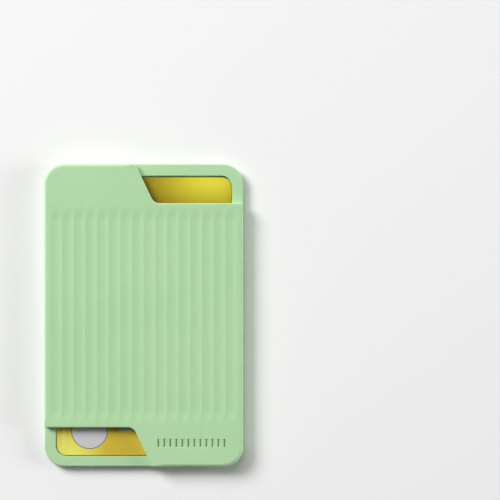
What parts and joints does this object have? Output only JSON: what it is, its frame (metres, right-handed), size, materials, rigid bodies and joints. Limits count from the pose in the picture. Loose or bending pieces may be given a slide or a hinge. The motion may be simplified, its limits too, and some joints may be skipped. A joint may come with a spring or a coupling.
{
  "type": "stick on phone card holder",
  "caption": "Slim moulded silicone card pocket with a fluted front band, two corner windows and an adhesive back, to stick on the back of a phone.",
  "frame": {"origin": "centre of the release liner's underside, which is the lowest face as the holder lies on its back", "axes": "+X to the holder's right as seen from the front, +Y to its top, +Z out of its front, away from the phone"},
  "size_m": [0.0612, 0.0932, 0.0049],
  "materials": {
    "silicone": "matte moulded silicone, mint green",
    "card_plastic": "glossy laminated card, yellow gold with a pale grey disc",
    "adhesive": "smooth greyish white adhesive film",
    "liner_film": "satin silver film"
  },
  "bodies": {
    "root": {"pocket_body": "silicone", "card": "card_plastic", "adhesive_sheet": "adhesive", "release_liner": "liner_film"}
  },
  "joints": []
}
